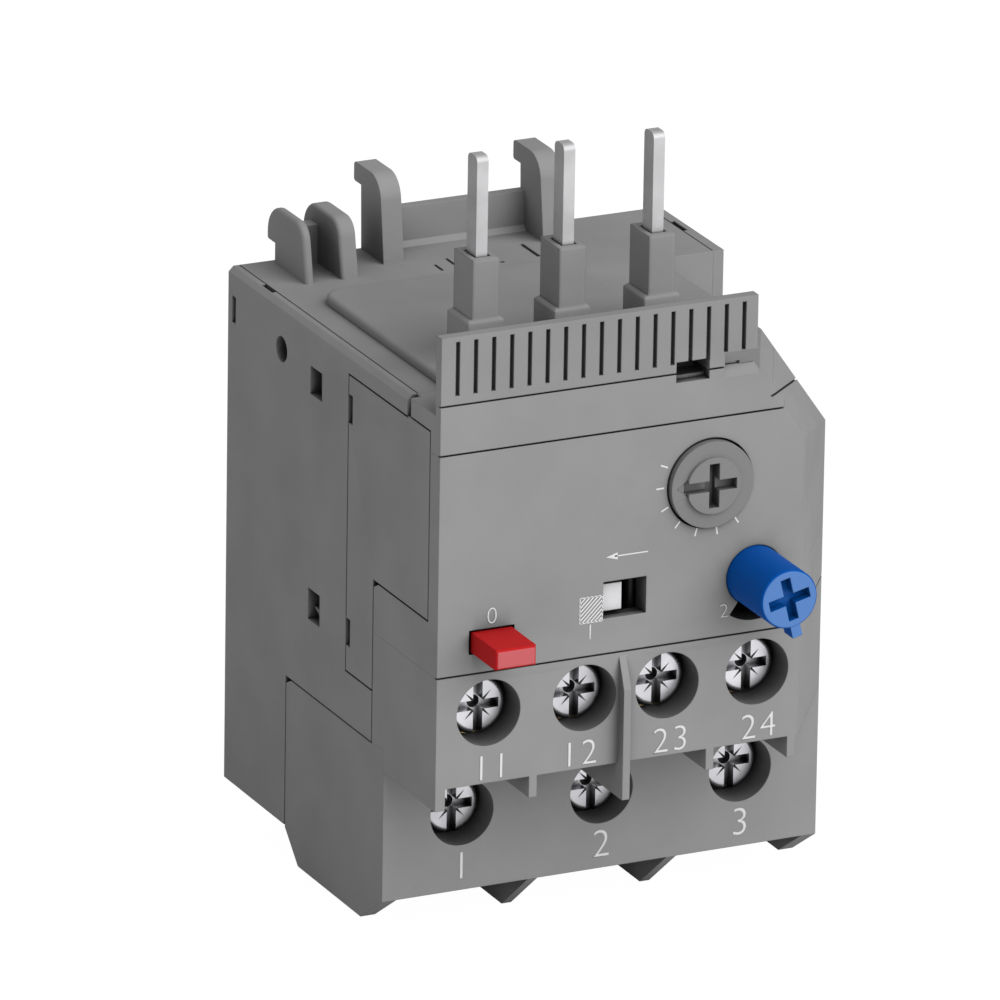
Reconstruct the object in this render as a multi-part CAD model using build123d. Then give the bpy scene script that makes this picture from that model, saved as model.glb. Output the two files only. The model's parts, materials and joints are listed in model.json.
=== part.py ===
from build123d import *
import os
from math import cos, sin, tan, radians

# Thermal overload relay, millimetres.
# X to the right, Y back from the front face, Z up from the lowest edges of the walls under it.

# case
width = 45.0
half_width = width / 2
case_depth = 46.7
deck_z = 54.3
plateau_t = 1.0
plateau_z = deck_z + plateau_t
panel_h = 6.7
panel_top_z = plateau_z + panel_h
cover_t = 1.1
wall_t = 1.4
seam_w = 0.18
seam_depth = 0.35
fit = 0.05
run_fit = 0.08
air = 0.3
far = 100.0

# levels and depths of the front pieces
load_face_y = 11.15
load_rear_y = 33.0
load_bottom_z = 3.1
foot_z = 0.0
inner_foot_z = -1.35
aux_bottom_z = 18.1
aux_top_z = 28.94
aux_rear_y = 14.0
plate_t = 2.2
tray_top_z = 34.1
plate_top_z = deck_z - 3.77
mech_top_z = deck_z - 1.95
mech_rear_y = 19.87
mech_foot_z = 23.05
deck_front_y = 7.1
lip_t = 1.1

# bevel and cut corner on the right
bevel_w = 7.9
front_right_x = half_width - bevel_w
cut_slope = 1.43
cut_drop_front = 7.75
cut_drop_back = 10.88
cut_low_front_z = plateau_z - cut_drop_front
cut_high_front_x = front_right_x - cut_drop_front / cut_slope
cut_low_back_z = plateau_z - cut_drop_back
cut_high_back_x = half_width - cut_drop_back / cut_slope
panel_right_x = 9.6

# setting dial
dial_x = 5.02
dial_z = plate_top_z - 6.23
dial_hole_r = 4.4
dial_gap = 0.2
dial_knob_r = 2.75

# reset knob
reset_x = 9.86
reset_z = 34.6
reset_r = 2.87
reset_out = 7.2
reset_slot_turn = 13.6

# stop button
stop_x0 = -19.05
stop_x1 = -14.95
stop_z0 = 31.15
stop_z1 = 33.1
stop_out = 5.3

# test window
window_x0 = -5.7
window_x1 = -1.3
window_z0 = 32.5
window_skin = 0.8
window_z1 = 36.1

# auxiliary terminals
aux_xs = (-17.2, -7.4, 1.05, 10.3)
aux_screw_z = 25.0
aux_well_r = 3.24
aux_head_r = 2.95
aux_shank_r = 1.4

# load terminals
pole_pitch = 14.4
pole_xs = (-pole_pitch, 0.0, pole_pitch)
load_screw_z = 10.8
load_well_r = 3.24
load_head_r = 2.95
load_shank_r = 1.9
head_t = 1.6
head_sunk = 2.3

# plug pins
pin_xs = (-13.35, -4.55, 4.6)
pin_y = 12.0
pin_w = 1.15
pin_d = 2.0
pin_out = 19.6
pin_top_z = plateau_z + pin_out
tower_w = 2.7
tower_d = 4.0
tower_h = 10.0
tower_top_z = plateau_z + tower_h
pedestal_w = 3.7
pedestal_d = 4.4
pedestal_h = 4.3
pedestal_top_z = plateau_z + pedestal_h

# hooks on the deck
hook_reach_y = case_depth + 1.6
hook_h = 8.2
hook_top_z = deck_z + hook_h

# the origin is the middle of the bounding box at its lowest level
mid_y = (hook_reach_y - reset_out) / 2


def prism_x(points, x0, x1):
    face = Plane.YZ.offset(x0) * Polygon(*points, align=None)
    return extrude(face, amount=x1 - x0, dir=(1, 0, 0))


def prism_y(points, y0, y1):
    face = Plane.XZ.offset(-y0) * Polygon(*points, align=None)
    return extrude(face, amount=y1 - y0, dir=(0, 1, 0))


def block(x0, x1, y0, y1, z0, z1):
    return Pos((x0 + x1) / 2, (y0 + y1) / 2, (z0 + z1) / 2) * Box(x1 - x0, y1 - y0, z1 - z0)


def rod_y(x, z, r, y0, y1):
    return Pos(x, (y0 + y1) / 2, z) * Rot(90, 0, 0) * Cylinder(r, y1 - y0)


def rod_x(y, z, r, x0, x1):
    return Pos((x0 + x1) / 2, y, z) * Rot(0, 90, 0) * Cylinder(r, x1 - x0)


def rod_z(x, y, r, z0, z1):
    return Pos(x, y, (z0 + z1) / 2) * Cylinder(r, z1 - z0)


def rounded_x(points, x0, x1):
    """A prism along X; each point is (y, z, radius of its corner)."""
    corners = []
    for i, (y, z, r) in enumerate(points):
        here = Vector(x0, y, z)
        before = points[i - 1]
        after = points[(i + 1) % len(points)]
        a = (Vector(x0, before[0], before[1]) - here).normalized()
        b = (Vector(x0, after[0], after[1]) - here).normalized()
        if r == 0:
            corners.append((here, None, here))
            continue
        half = radians(a.get_angle(b) / 2)
        inward = (a + b).normalized()
        reach = r / tan(half)
        middle = here + inward * (r / sin(half) - r)
        corners.append((here + a * reach, middle, here + b * reach))
    edges = []
    for i, (start, middle, end) in enumerate(corners):
        if middle is not None:
            edges.append(Edge.make_three_point_arc(start, middle, end))
        edges.append(Edge.make_line(end, corners[(i + 1) % len(corners)][0]))
    return extrude(Face(Wire(edges)), amount=x1 - x0, dir=(1, 0, 0))


def band_x(points, grow, x0, x1):
    """The strip just outside a side outline, for the seam round it."""
    face = Plane.YZ.offset(x0) * Polygon(*points, align=None)
    grown = offset(face, amount=grow, kind=Kind.INTERSECTION)
    wide = extrude(grown, amount=x1 - x0, dir=(1, 0, 0))
    return wide - prism_x(points, x0 - 1, x1 + 1)


def coil_y(x, z, r, wire_r, y0, y1, turns):
    """A round-wire compression spring along Y between two seats."""
    free = y1 - y0 - 2 * wire_r
    path = Helix(pitch=free / turns, height=free, radius=r)
    ring = Plane(origin=path @ 0, z_dir=path % 0) * Circle(wire_r)
    wire = sweep(ring, path=path, is_frenet=True)
    return Pos(x, y0 + wire_r, z) * Rot(-90, 0, 0) * wire


# the outer form on the right: a bevelled front that runs back to the full width,
# and the corner above it cut at a slope

front_line = [
    (-far, -far),
    (front_right_x, -far),
    (front_right_x, cut_low_front_z),
    (cut_high_front_x, plateau_z),
    (cut_high_front_x, far),
    (-far, far),
]
back_line = [
    (-far, -far),
    (half_width, -far),
    (half_width, cut_low_back_z),
    (cut_high_back_x, plateau_z),
    (cut_high_back_x, far),
    (-far, far),
]


def outline_wire(points, y):
    return Wire.make_polygon([Vector(p[0], y, p[1]) for p in points], close=True)


# the same bevel carried a little in front of the face keeps the front plane clean
bevel = Solid.make_loft(
    [outline_wire(front_line, 0.0), outline_wire(back_line, load_face_y)],
    True,
)
ahead = prism_y(front_line, -3.0, 0.0)
middle = prism_y(back_line, load_face_y, load_rear_y)
behind = block(-far, half_width, load_rear_y, far, -far, far)
envelope = Part() + ahead + bevel + middle + behind
core = (Pos(-0.4, 0, 0) * envelope) & block(-far, far, seam_depth, far, -far, far)


def seam_at(z):
    """A shallow groove across the front and the bevel, with its lower edge at z."""
    return block(-far, far, -far, load_rear_y, z, z + seam_w) - core


def front_seam(z):
    """A shallow groove across the front face alone, with its lower edge at z."""
    return block(-far, far, -far, seam_depth, z, z + seam_w)


# side outline shared by the base housing and the two side covers

base_side = [
    (aux_rear_y, aux_bottom_z),
    (load_rear_y, aux_bottom_z),
    (load_rear_y, load_bottom_z),
    (case_depth, load_bottom_z),
    (case_depth, deck_z),
    (deck_front_y, deck_z),
    (deck_front_y, mech_top_z),
    (mech_rear_y, mech_top_z),
    (mech_rear_y, mech_foot_z),
    (aux_rear_y, mech_foot_z),
]
mech_side = [
    (plate_t, tray_top_z),
    (aux_rear_y, tray_top_z),
    (aux_rear_y, mech_foot_z),
    (mech_rear_y, mech_foot_z),
    (mech_rear_y, mech_top_z),
    (plate_t, mech_top_z),
]
aux_side = [
    (0.0, aux_bottom_z),
    (aux_rear_y, aux_bottom_z),
    (aux_rear_y, aux_top_z),
    (0.0, aux_top_z),
]
cover_x = half_width - cover_t
base_seam = band_x(base_side, seam_w, -half_width - 1, -half_width + seam_depth)
mech_seam = band_x(mech_side, seam_w, -half_width - 1, -half_width + seam_depth)

# heater chambers, slides and straps inside the base housing

chamber_y0 = 21.3
chamber_y1 = case_depth - 1.5
chamber_top_z = deck_z - 7.8
partition_x = pole_pitch / 2
partition_half = 0.6
chamber_half = partition_x - partition_half
chamber_end_x = cover_x - wall_t
slide_y0 = 24.0
slide_y1 = 30.0
slide_t = 1.2
push_z = chamber_top_z - 3.9
diff_z = chamber_top_z - 2.1
slide_travel = 1.5
slide_x0 = -chamber_end_x + 0.8
slide_x1 = chamber_end_x - slide_travel - 1.1
bimetal_t = 0.8
bimetal_y0 = 23.9
bimetal_y1 = 28.7
bimetal_top_z = chamber_top_z - air
tongue_x0 = -3.4
tongue_x1 = -1.5
tongue_y0 = 13.9
strap_t = 1.0
strap_half = 1.2
strap_y0 = 10.95
strap_y1 = 31.4
lead_y0 = 30.4

chamber_side = [
    (chamber_y0, aux_bottom_z - 1),
    (load_rear_y - 0.1, aux_bottom_z - 1),
    (load_rear_y - 0.1, aux_bottom_z + 1.5),
    (load_rear_y + 1.5, aux_bottom_z + 1.5),
    (load_rear_y + 1.5, load_bottom_z + 1.5),
    (chamber_y1, load_bottom_z + 1.5),
    (chamber_y1, chamber_top_z),
    (chamber_y0, chamber_top_z),
]

base = prism_x(base_side, -cover_x, cover_x) & envelope
base -= prism_x(chamber_side, -chamber_end_x, -partition_x - partition_half)
base -= prism_x(chamber_side, -chamber_half, chamber_half)
base -= prism_x(chamber_side, partition_x + partition_half, chamber_end_x)
# two slots for the slides through the partitions and the left wall, where they go in
for z in (push_z, diff_z):
    base -= block(
        -cover_x - 1,
        chamber_end_x - 1,
        slide_y0 - fit,
        slide_y1 + fit,
        z - fit,
        z + slide_t + fit,
    )
# window for the tongue of the upper slide
tongue_hole_x0 = tongue_x0 - 0.6
tongue_hole_x1 = tongue_x1 + 3.9
tongue_hole_z0 = diff_z - 0.5
tongue_hole_z1 = diff_z + slide_t + 0.5
base -= block(
    tongue_hole_x0,
    tongue_hole_x1,
    mech_rear_y - 1,
    chamber_y0 + 1,
    tongue_hole_z0,
    tongue_hole_z1,
)
# channels for the straps from the pins: along the deck, down the wall, along the ceiling
for pin_x, pole_x in zip(pin_xs, pole_xs):
    x0 = pin_x - strap_half - fit
    x1 = pin_x + strap_half + fit
    base -= block(x0, x1, strap_y0 - fit, strap_y1 + fit, deck_z - strap_t, deck_z + 1)
    base -= block(x0, x1, lead_y0 - fit, strap_y1 + fit, chamber_top_z - 0.5, deck_z)
    left = min(pin_x, pole_x) - strap_half - fit
    right = max(pin_x, pole_x) + strap_half + fit
    low = chamber_top_z - 0.2
    base -= block(left, right, lead_y0 - fit, strap_y1 + fit, low, chamber_top_z + strap_t)
# pockets behind the windows, the round hole and the slot in the left cover
window_y0 = 25.6
window_y1 = 28.2
high_window = (deck_z - 6.65, deck_z - 3.9)
low_window = (25.4, 28.5)
right_window = (36.0, 38.75)
pocket_x = cover_x - 0.9
catch_top_z = 26.6
base -= block(-far, -pocket_x, window_y0, window_y1, high_window[0], high_window[1])
base -= block(-far, -pocket_x, window_y0, window_y1, catch_top_z, low_window[1])
base -= block(pocket_x, far, window_y0, window_y1, catch_top_z, low_window[1])
base -= block(pocket_x, far, window_y0, window_y1, right_window[0], right_window[1])
side_hole_y = 34.65
side_hole_z = deck_z - 4.35
side_slot_rear_y = case_depth - 0.9
side_slot_w = 0.8
side_slot_z = (deck_z - 5.2, deck_z - 2.6)
base -= rod_x(side_hole_y, side_hole_z, 1.25, -far, -cover_x + 2.0)
base -= block(
    -far,
    -cover_x + 1.2,
    side_slot_rear_y - side_slot_w,
    side_slot_rear_y,
    side_slot_z[0],
    side_slot_z[1],
)
# small slits in the rear deck
base -= block(5.4, 5.8, 38.0, 42.0, deck_z - 0.8, deck_z + 1)
base -= block(-4.65, -4.35, 37.8, 39.7, deck_z - 0.8, deck_z + 1)
base -= block(-2.9, -2.6, 38.9, 40.9, deck_z - 0.8, deck_z + 1)
base -= Pos(1.7, 37.9, deck_z) * Cylinder(0.25, 1.6)

# hooks moulded on the rear deck, side outlines as (y, z, corner radius)
root_z = deck_z - 0.5
nose_z = hook_top_z - 1.9
hook_root_y = case_depth - 5.2
tall_hook = [
    (hook_root_y, root_z, 0),
    (hook_root_y, deck_z, 0),
    (hook_root_y + 1.05, hook_top_z, 2.4),
    (hook_reach_y, hook_top_z, 0.4),
    (hook_reach_y, nose_z, 0.3),
    (case_depth, nose_z, 0),
    (case_depth - 0.2, root_z, 0),
]
ear_h = 5.55
ear_top_z = deck_z + ear_h
ear_nose_z = deck_z + 1.8
ear_root_y = case_depth - 7.8
ear_reach_y = case_depth + 1.15
ear_rear_y = case_depth - 0.8
low_hook = [
    (ear_root_y, root_z, 0),
    (ear_root_y, deck_z, 0),
    (ear_root_y + 1.1, ear_top_z, 1.9),
    (ear_reach_y, ear_top_z, 2.8),
    (ear_reach_y, ear_nose_z, 0.3),
    (ear_rear_y, ear_nose_z, 0),
    (ear_rear_y, root_z, 0),
]
left_hook_x = -8.9
right_hook_x = 7.7
hook_w = 2.1
base += rounded_x(tall_hook, left_hook_x, left_hook_x + hook_w)
base += rounded_x(tall_hook, right_hook_x, right_hook_x + hook_w)
low_wall = [
    (case_depth - 1.5, root_z),
    (case_depth - 1.5, deck_z),
    (case_depth - 1.0, deck_z + 0.5),
    (case_depth - 1.0, deck_z + 3.9),
    (case_depth, deck_z + 3.9),
    (case_depth, root_z),
]
base += prism_x(low_wall, left_hook_x + hook_w, right_hook_x)
rim_y = ear_root_y + 3.1
ear_1_x = -18.1
ear_1_w = 0.9
ear_2_x = -14.4
ear_2_w = 1.8
for x, w in ((ear_1_x, ear_1_w), (ear_2_x, ear_2_w)):
    ear = rounded_x(low_hook, x, x + w)
    rim = ear.edges().filter_by(lambda e: e.center().Y < rim_y and e.center().Z > deck_z + 0.2)
    rim = rim.filter_by(lambda e: abs(e.tangent_at(0.5).X) < 0.5)
    base += fillet(rim, 0.35)
base += block(ear_1_x + ear_1_w, ear_2_x, ear_rear_y - 1.5, ear_rear_y, root_z, deck_z + 3.8)

# mechanism housing: the hollow body behind the front plate

mech_in_y = 15.3
mech_in_rear_y = 18.57
mech_in_x0 = -half_width + 1.5
mech_in_x1 = front_right_x - 2.7
mech_in_wide_x1 = front_right_x
mech_hollow = [
    (plate_t - 1, tray_top_z - 1),
    (mech_in_y, tray_top_z - 1),
    (mech_in_y, mech_foot_z + 1.3),
    (mech_in_rear_y, mech_foot_z + 1.3),
    (mech_in_rear_y, mech_top_z - 1.3),
    (plate_t - 1, mech_top_z - 1.3),
]
mech = prism_x(mech_side, -half_width, half_width) & envelope
mech -= prism_x(mech_hollow, mech_in_x0, mech_in_x1)
mech_side_room_z = cut_low_front_z - 2.55
mech_deep_x1 = half_width - 1.9
mech_deep_z = cut_low_back_z - 1.0
mech -= block(
    mech_in_x1 - 1,
    mech_in_wide_x1,
    plate_t - 1,
    mech_in_rear_y,
    tray_top_z - 1,
    mech_side_room_z,
)
mech -= block(
    mech_in_wide_x1 - 1,
    mech_deep_x1,
    12.6,
    mech_in_rear_y,
    tray_top_z + 1.3,
    mech_deep_z,
)
# ribs that hold the trip carrier down
carrier_top_z = 36.4
for x in (-11.5, 3.0):
    low = carrier_top_z + fit
    mech += block(x, x + 1.0, 6.2, mech_in_rear_y + 0.2, low, carrier_top_z + 1.2)
# bearing of the dial shaft, bore for the lever axle, notch for the reset rod, window for the tongue
dial_shaft_r = 1.5
axle_x = -0.5
axle_z = diff_z - 4.4
axle_r = 0.8
rod_r = 1.6
mech -= rod_y(dial_x, dial_z, dial_shaft_r + fit, mech_in_rear_y - 1, mech_in_rear_y + 0.8)
mech -= rod_y(axle_x, axle_z, axle_r, mech_in_rear_y - 1, mech_in_rear_y + 0.8)
mech -= rod_y(reset_x, reset_z, rod_r + fit, aux_rear_y - 1, mech_in_y + 1)
mech -= block(
    tongue_hole_x0,
    tongue_hole_x1,
    mech_in_rear_y - 1,
    mech_rear_y + 1,
    tongue_hole_z0,
    tongue_hole_z1,
)
# upright slots in the left side
side_slot_y0 = mech_rear_y - 1.0
for z0, z1 in ((25.7, 28.4), (mech_top_z - 4.8, mech_top_z - 1.99)):
    mech -= block(-far, -half_width + 1.2, side_slot_y0, far, z0, z1)
mech -= base_seam
# seam across the cut corner
seam_front_drop = 3.26
seam_back_drop = 6.4
seam_front_x = cut_high_front_x + seam_front_drop / cut_slope
seam_back_x = cut_high_back_x + seam_back_drop / cut_slope
seam_from = (seam_front_x, 0.0, plateau_z - seam_front_drop)
seam_to = (seam_back_x, load_face_y, plateau_z - seam_back_drop)
along = Vector(*seam_to) - Vector(*seam_from)
edge_line = Vector(-1, 0, cut_slope)
corner_plane = Plane(origin=seam_from, x_dir=along, z_dir=along.cross(edge_line))
corner_seam = corner_plane * Box(60, seam_w, 2 * seam_depth)
mech -= corner_seam

# front cover: plate with the controls, and the contact tray behind its foot

tray_floor_z = 30.1
tray_x0 = -half_width + 1.3
tray_x1 = front_right_x
tray_in_rear_y = 12.7
carrier_y0 = 6.2
carrier_y1 = 8.8
carrier_z = 34.2
bar_y0 = 9.0
bar_y1 = 10.0
lane_y0 = 5.0
lane_y1 = 6.0
riser_half = 1.0

cover = block(-half_width, half_width, 0, plate_t, aux_top_z, plate_top_z)
cover += block(-half_width, half_width, 0, aux_rear_y, aux_top_z, tray_top_z)
cover = cover & envelope
cover -= block(tray_x0, tray_x1, plate_t, tray_in_rear_y, tray_floor_z, tray_top_z + 1)
cover -= block(tray_x1 - 1, tray_x1 + 3.0, 9.5, tray_in_rear_y, tray_floor_z, tray_top_z + 1)
riser_room = riser_half + fit
for x in aux_xs:
    cover -= block(
        x - riser_room,
        x + riser_room,
        bar_y0 - fit,
        bar_y1 + fit,
        aux_top_z - 1,
        tray_floor_z + 1,
    )
# pillars that carry the trip carrier, each with a guide ridge
ridge_y0 = 7.1
ridge_y1 = 7.9
for x in (-9.6, 0.6):
    low = tray_floor_z - 0.2
    cover += block(x, x + 1.0, carrier_y0 + 0.1, carrier_y1 - 0.1, low, carrier_z - fit)
    cover += block(x, x + 1.0, ridge_y0 + fit, ridge_y1 - fit, carrier_z - 0.3, carrier_z + 0.6)
cover -= rod_y(reset_x, reset_z, rod_r + fit, tray_in_rear_y - 1, aux_rear_y + 1)
# openings of the plate
cover -= rod_y(dial_x, dial_z, dial_hole_r, -1, plate_t + 1)
cover -= rod_y(reset_x, reset_z, reset_r + run_fit, -1, plate_t + 1)
cover -= block(stop_x0 - 0.25, stop_x1 + 0.25, -1, plate_t + 1, stop_z0 - 0.2, stop_z1 + 0.2)
cover -= block(window_x0, window_x1, -1, plate_t + 1, window_z0, window_z1)
# room behind the window, so that only a thin skin of the plate lies round it
cover -= block(
    window_x0 - 3.6,
    window_x1,
    window_skin,
    plate_t + 1,
    window_z0 - 0.2,
    window_z1 + 0.6,
)
# open arc beside the reset knob where its pointer shows the setting
arc_r = 4.4
arc_points = [(reset_x, reset_z)]
for step in range(8):
    a = radians(235 + step * 55 / 7)
    arc_points.append((reset_x + 1.25 * arc_r * cos(a), reset_z + 1.25 * arc_r * sin(a)))
cover -= prism_y(arc_points, -1, plate_t + 1) & rod_y(reset_x, reset_z, arc_r, -2, plate_t + 2)
cover -= seam_at(aux_top_z)
cover -= base_seam
cover -= mech_seam
# small three-cornered pocket at the rear corner of the left side
nick_h = 0.8
nick_l = 1.5
nick_x = -half_width + 0.8
cover_nick = [
    (aux_rear_y + 1, tray_top_z + 1),
    (aux_rear_y + 1, tray_top_z - nick_h),
    (aux_rear_y, tray_top_z - nick_h),
    (aux_rear_y - nick_l, tray_top_z),
    (aux_rear_y - nick_l, tray_top_z + 1),
]
cover -= prism_x(cover_nick, -far, nick_x)

# label strip above the plate; it closes the deck in front of the pins

strip_side = [
    (0.0, plate_top_z),
    (plate_t, plate_top_z),
    (plate_t, mech_top_z),
    (deck_front_y, mech_top_z),
    (deck_front_y, deck_z),
    (lip_t, deck_z),
    (lip_t, plateau_z),
    (0.0, plateau_z),
]
strip = prism_x(strip_side, -half_width, half_width) & envelope
strip -= block(-far, -half_width + 1.0, deck_front_y - 0.8, deck_front_y + 1, mech_top_z, far)
strip -= front_seam(plate_top_z)
strip -= mech_seam
strip -= corner_seam
notch_x0 = 1.34
notch_x1 = 4.73
notch_z0 = deck_z + 0.2
notch_depth = 3.2
strip -= block(notch_x0, notch_x1, -1, lip_t + 0.1, notch_z0, plateau_z + 1)
# sloped recess in the upper edge, to the right of the notch
recess_x0 = 6.3
recess_side = [(-1, plateau_z - 0.9), (0, plateau_z - 0.9), (0.85, plateau_z), (0.85, far), (-1, far)]
strip -= prism_x(recess_side, recess_x0, far)

# ribbed panel in front of the pins

panel = block(-half_width, panel_right_x, 0, lip_t, plateau_z, panel_top_z)
groove_n = 17
groove_pitch = 1.814
groove_w = 0.42
groove_t = 0.7
groove_x0 = -half_width + 1.66
for n in range(groove_n):
    x = groove_x0 + n * groove_pitch
    low = plateau_z + (1.55 if x > recess_x0 else 1.0)
    panel -= block(x - groove_w / 2, x + groove_w / 2, -1, groove_t, low, panel_top_z - 0.5)
# feet that stand on the carrier plate behind it
foot_l = 1.5
foot_h = 2.7
foot_w = 1.2
foot_side = [
    (lip_t - 0.1, plateau_z),
    (lip_t + foot_l, plateau_z),
    (lip_t - 0.1, plateau_z + foot_h),
]
for x in (-20.5, -9.5):
    panel += prism_x(foot_side, x, x + foot_w)
# hoods that close the notch and the recess from behind
hood_h = 2.0
notch_top_z = plateau_z + 1.2
panel += block(
    notch_x0 - 0.4,
    notch_x1 + 0.4,
    lip_t - 0.1,
    notch_depth + 0.5,
    plateau_z,
    plateau_z + hood_h,
)
panel += block(recess_x0, recess_x0 + 2.4, lip_t - 0.1, notch_depth, plateau_z, plateau_z + hood_h)
panel -= block(notch_x0, notch_x1, -1, notch_depth, plateau_z - 1, notch_top_z)
ramp_side = [
    (-1, plateau_z - 1),
    (0.75, plateau_z - 1),
    (0.75, plateau_z),
    (0, plateau_z + 1.5),
    (-1, plateau_z + 1.5),
]
panel -= prism_x(ramp_side, recess_x0, far)
panel -= block(recess_x0 + 0.2, recess_x0 + 1.8, -1, notch_depth - 0.5, plateau_z, plateau_z + 0.35)
panel -= front_seam(plateau_z)

# auxiliary terminal block with the barrier and ribs under it

aux_chamber_half = 3.5
aux_plate_half = 3.1
aux_plate_t = 0.8
aux_chamber_y0 = 3.6
aux_chamber_top_z = 28.1
bar_bottom_z = 19.6
bar_half = 3.0
rib_z = 16.0
fin_x0 = -3.95
fin_x1 = -3.2
fin_z = 14.8

aux = prism_x(aux_side, -half_width, half_width) & envelope
aux_head_y1 = head_sunk + head_t
for x in aux_xs:
    aux -= rod_y(x, aux_screw_z, aux_well_r, -1, aux_head_y1)
    aux -= block(
        x - aux_chamber_half,
        x + aux_chamber_half,
        aux_chamber_y0,
        bar_y0,
        aux_bottom_z - 1,
        aux_chamber_top_z,
    )
    aux -= block(
        x - bar_half - fit,
        x + bar_half + fit,
        bar_y0 - 0.01,
        bar_y1 + fit,
        bar_bottom_z,
        aux_top_z + 1,
    )
    aux -= rod_y(x, aux_screw_z, aux_shank_r + 0.3, bar_y1 - 1, 13.4)
aux += block(-half_width, -half_width + 1.0, 0, load_face_y, rib_z, aux_bottom_z)
for x0, x1 in ((-12.95, -12.15), (5.2, 6.0), (13.6, 14.4)):
    aux += block(x0, x1, 0, load_face_y, rib_z, aux_bottom_z + 0.1)
fin_side = [
    (load_face_y, fin_z),
    (-1.2, fin_z),
    (-1.2, 25.6),
    (0.0, 28.6),
    (0.5, 28.6),
    (0.5, aux_bottom_z + 0.1),
    (load_face_y, aux_bottom_z + 0.1),
]
aux += prism_x(fin_side, fin_x0, fin_x1)
aux -= base_seam
aux -= mech_seam

# load terminal block with the walls it stands on

load_chamber_half = 4.2
load_chamber_y0 = 14.75
load_chamber_y1 = 22.0
load_bar_t = 1.0
load_bar_z0 = 4.5
lead_room_half = half_width - pole_pitch - 2.6
load_plate_half = 3.7
load_plate_t = 0.9
load_side = [
    (load_face_y, load_bottom_z),
    (load_rear_y, load_bottom_z),
    (load_rear_y, aux_bottom_z),
    (load_face_y, aux_bottom_z),
]
outer_wall = [
    (load_face_y, load_bottom_z + 0.2),
    (load_face_y, load_bottom_z),
    (15.8, foot_z),
    (29.8, foot_z),
    (load_rear_y, load_bottom_z),
    (load_rear_y, load_bottom_z + 0.2),
]
inner_wall = [
    (load_face_y, load_bottom_z + 0.2),
    (load_face_y, load_bottom_z),
    (16.7, inner_foot_z),
    (28.4, inner_foot_z),
    (load_rear_y, load_bottom_z),
    (load_rear_y, load_bottom_z + 0.2),
]
load = prism_x(load_side, -half_width, half_width)
for x in pole_xs:
    load -= rod_y(x, load_screw_z, load_well_r, load_face_y - 1, load_chamber_y0 + 0.1)
    load -= block(
        x - load_chamber_half,
        x + load_chamber_half,
        load_chamber_y0,
        load_chamber_y1,
        load_bottom_z - 1,
        aux_bottom_z - 1.5,
    )
    load -= block(
        x - bar_half - fit,
        x + bar_half + fit,
        load_chamber_y1 - 0.01,
        load_chamber_y1 + load_bar_t + fit,
        load_bar_z0,
        aux_bottom_z + 1,
    )
    load -= rod_y(x, load_screw_z, load_shank_r + 0.3, load_chamber_y1, 25.5)
    load -= block(
        x - lead_room_half,
        x + lead_room_half,
        24.4,
        31.6,
        load_bottom_z + 1.7,
        aux_bottom_z + 1,
    )
outer_wall_t = 1.5
inner_wall_t = 1.0
inner_wall_xs = (-7.5, 6.9)
load += prism_x(outer_wall, -half_width, -half_width + outer_wall_t)
load += prism_x(outer_wall, half_width - outer_wall_t, half_width)
for x in inner_wall_xs:
    load += prism_x(inner_wall, x, x + inner_wall_t)
load -= base_seam
load_nick = [
    (load_rear_y + 1, aux_bottom_z + 1),
    (load_rear_y + 1, aux_bottom_z - nick_h),
    (load_rear_y, aux_bottom_z - nick_h),
    (load_rear_y - nick_l, aux_bottom_z),
    (load_rear_y - nick_l, aux_bottom_z + 1),
]
load -= prism_x(load_nick, -far, nick_x)

# side covers

left_cover = prism_x(base_side, -half_width, -cover_x)
left_cover -= Pos(-half_width, 0, deck_z) * Rot(0, 45, 0) * Box(0.7, 2 * far, 0.7)
for z0, z1 in (high_window, low_window):
    left_cover -= block(-half_width - 1, -cover_x + 0.5, window_y0, window_y1, z0, z1)
left_cover -= rod_x(side_hole_y, side_hole_z, 1.25, -half_width - 1, -cover_x + 0.5)
left_cover -= block(
    -half_width - 1,
    -cover_x + 0.5,
    side_slot_rear_y - side_slot_w,
    side_slot_rear_y,
    side_slot_z[0],
    side_slot_z[1],
)
left_cover -= block(-cover_x - 0.5, -cover_x + 0.5, 38.2, 40.6, deck_z - 1.0, deck_z + 1)
right_cover = prism_x(base_side, cover_x, half_width) & envelope
for z0, z1 in (right_window, low_window):
    right_cover -= block(cover_x - 0.5, half_width + 1, window_y0, window_y1, z0, z1)
right_cover -= block(cover_x - 0.5, cover_x + 0.5, 39.5, 42.4, deck_z - 1.0, deck_z + 1)
# catches on the base housing that snap into the lower windows
catch_out = 0.5
catch_side = [
    (-cover_x, low_window[0] + 0.1),
    (-cover_x - catch_out, catch_top_z),
    (-cover_x, catch_top_z),
]
base += prism_y(catch_side, window_y0 + 0.2, window_y1 - 0.2)
base += prism_y([(-x, z) for x, z in catch_side], window_y0 + 0.2, window_y1 - 0.2)

# pin carrier: raised plate with the three towers

plateau_x0 = -18.7
plateau_x1 = 7.0
plateau_y1 = 34.5
plateau_r = 2.0
carrier_plate = block(plateau_x0, plateau_x1, lip_t + 0.1, plateau_y1, deck_z, plateau_z)
rear_edges = carrier_plate.edges().filter_by(Axis.Z).sort_by(Axis.Y)[-2:]
carrier_plate = fillet(rear_edges, plateau_r)
top_rim = carrier_plate.faces().sort_by(Axis.Z)[-1].edges().sort_by(Axis.Y)[1:]
carrier_plate = fillet(top_rim, 0.4)
pin_carrier = Part() + carrier_plate
pin_carrier -= block(notch_x0, notch_x1, -1, notch_depth, notch_z0 + 0.3, plateau_z + 1)


def post(x, w, d, z0, z1):
    return block(x - w / 2, x + w / 2, pin_y - d / 2, pin_y + d / 2, z0, z1)


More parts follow.
